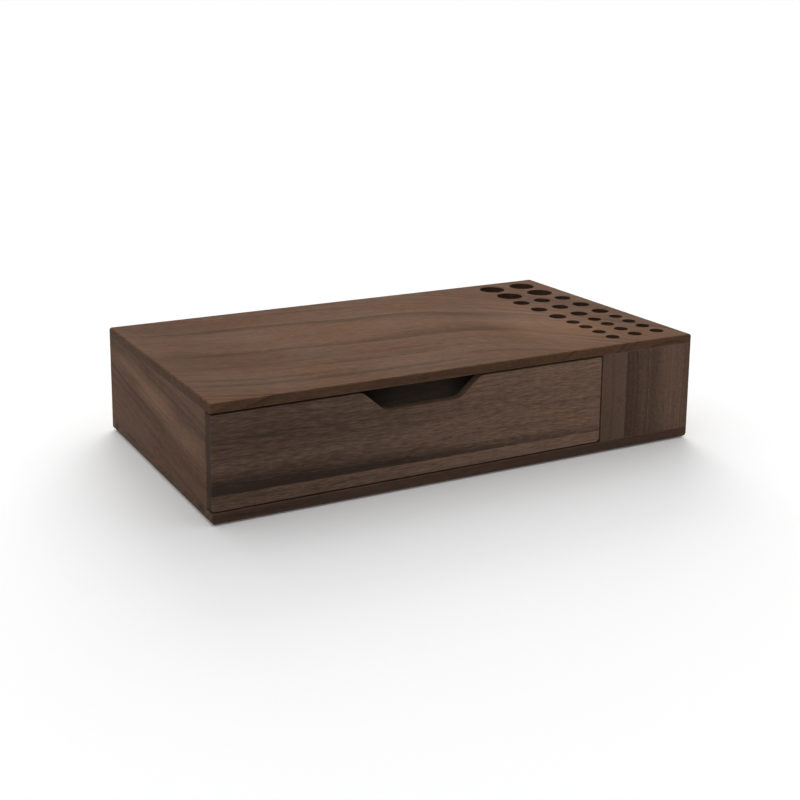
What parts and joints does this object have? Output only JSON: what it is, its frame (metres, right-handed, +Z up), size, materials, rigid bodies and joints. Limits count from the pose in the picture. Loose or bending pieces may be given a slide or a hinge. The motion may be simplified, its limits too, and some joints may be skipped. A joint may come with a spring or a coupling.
{
  "type": "valet box with drawer",
  "caption": "Low walnut valet box with one wide drawer, opened by a notch in its front, beside an upright block drilled with pen holes.",
  "frame": {"origin": "centre of the footprint, on the surface that the box stands on", "axes": "+X to the right along the front, +Y to the back, +Z up"},
  "size_m": [0.36, 0.2, 0.076],
  "materials": {
    "walnut_top": "oiled, satin",
    "walnut_bottom": "oiled, satin",
    "walnut_side": "oiled, satin",
    "walnut_back": "oiled, satin",
    "walnut_stave_light": "oiled, satin",
    "walnut_stave_dark": "oiled, satin",
    "walnut_stave_mid": "oiled, satin",
    "walnut_stave_tan": "oiled, satin",
    "rubber": "matte",
    "walnut_front": "oiled, satin",
    "walnut_drawer": "oiled, satin",
    "drawer_panel": "oiled, satin"
  },
  "bodies": {
    "case": {"top_board": "walnut_top", "bottom_board": "walnut_bottom", "left_side_board": "walnut_side", "back_board": "walnut_back", "pen_block_stave_1": "walnut_stave_light", "pen_block_stave_2": "walnut_stave_dark", "pen_block_stave_3": "walnut_stave_mid", "pen_block_stave_4": "walnut_stave_tan", "rubber_pads": "rubber"},
    "drawer": {"drawer_front": "walnut_front", "drawer_left_side": "walnut_drawer", "drawer_right_side": "walnut_drawer", "drawer_back": "walnut_drawer", "drawer_bottom": "drawer_panel"}
  },
  "joints": [
    {"name": "drawer_slide", "type": "slide", "parent": "case", "child": "drawer", "axis": [0, -1, 0], "range_m": [0, 0.15]}
  ]
}
